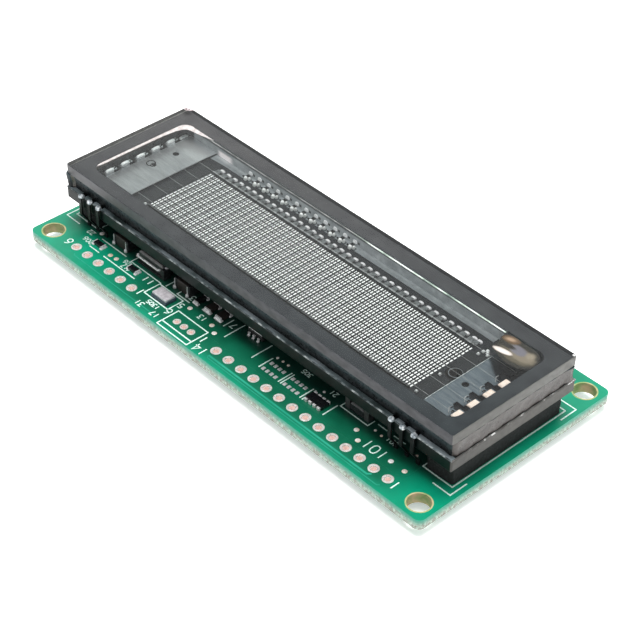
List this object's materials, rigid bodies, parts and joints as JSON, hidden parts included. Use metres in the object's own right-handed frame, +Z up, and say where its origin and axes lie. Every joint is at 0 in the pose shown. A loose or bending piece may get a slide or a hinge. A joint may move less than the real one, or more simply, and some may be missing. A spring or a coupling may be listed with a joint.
{
  "type": "vacuum fluorescent display module",
  "caption": "Wide vacuum fluorescent dot-matrix display module: a flat glass tube on foam pads over its circuit board, with plated connector holes along one edge.",
  "frame": {"origin": "centre of the bounding box's lower face, in the plane of the trimmed lead ends under the board; the board's middle is on it", "axes": "+Z up out of the display face, +X along the board's length, the connector holes along the -Y edge"},
  "size_m": [0.08, 0.036, 0.012],
  "materials": {
    "solder_mask": "green solder mask over glass-fibre laminate, gloss",
    "tinned_pads": "levelled solder over copper",
    "foam": "black closed-cell foam tape, matt",
    "rear_glass": "soda-lime sheet glass with ground edges",
    "cap_glass": "sealed glass cap",
    "side_wall": "cloudy glass side wall",
    "sealing_glass": "pale fired sealing glass",
    "border_print": "dark fired print",
    "front_glass": "clear polished sheet glass",
    "insulating_layer": "dark fired insulating layer",
    "phosphor": "pale phosphor powder, matt",
    "silver_print": "fired silver print",
    "grid_metal": "etched nickel-iron foil",
    "silver_paste": "fired silver paste",
    "anchor_metal": "stamped nickel-iron sheet",
    "oxide_wire": "oxide-coated tungsten wire",
    "getter_metal": "pressed metal channel",
    "getter_film": "brown-edged evaporated barium film",
    "lead_metal": "tinned nickel-iron strip",
    "solder": "bright solder",
    "capacitor_ceramic": "fired brown ceramic",
    "tinned_ends": "tin-plated end caps",
    "resistor_glaze": "black glaze over ceramic",
    "ferrite": "dark moulded ferrite",
    "winding_tape": "dark tape over the winding",
    "ceramic_package": "dark blue-grey ceramic",
    "lid_metal": "plated lid",
    "moulding": "black moulding compound"
  },
  "bodies": {
    "root": {"circuit_board": "solder_mask", "control_pads": "tinned_pads", "option_pads": "tinned_pads", "serial_pads": "tinned_pads", "test_points": "tinned_pads", "array_pads": "tinned_pads", "foam_pad_left": "foam", "foam_pad_right": "foam", "rear_glass": "rear_glass", "exhaust_cap": "cap_glass", "spacer_frame": "side_wall", "seal_bead": "sealing_glass", "border_print": "border_print", "front_glass": "front_glass", "anode_plate": "insulating_layer", "dot_rows": "phosphor", "grid_rail": "insulating_layer", "bus_strip": "silver_print", "control_grids": "grid_metal", "grid_welds": "silver_paste", "filament_anchor_left": "anchor_metal", "filament_anchor_right": "anchor_metal", "cathode_filaments": "oxide_wire", "getter_ring": "getter_metal", "getter_mirror": "getter_film", "near_leads": "lead_metal", "far_leads": "lead_metal", "solder_joints": "solder", "bulk_capacitors": "capacitor_ceramic", "bulk_capacitor_ends": "tinned_ends", "chip_capacitors": "capacitor_ceramic", "chip_capacitor_ends": "tinned_ends", "chip_resistors": "resistor_glaze", "chip_resistor_ends": "tinned_ends", "resistor_array": "resistor_glaze", "resistor_array_ends": "tinned_ends", "power_inductor": "ferrite", "inductor_clip": "tinned_ends", "transformer_core": "ferrite", "transformer_winding": "winding_tape", "oscillator_base": "ceramic_package", "oscillator_lid": "lid_metal", "regulator_chip": "moulding", "regulator_legs": "tinned_ends"}
  },
  "joints": []
}
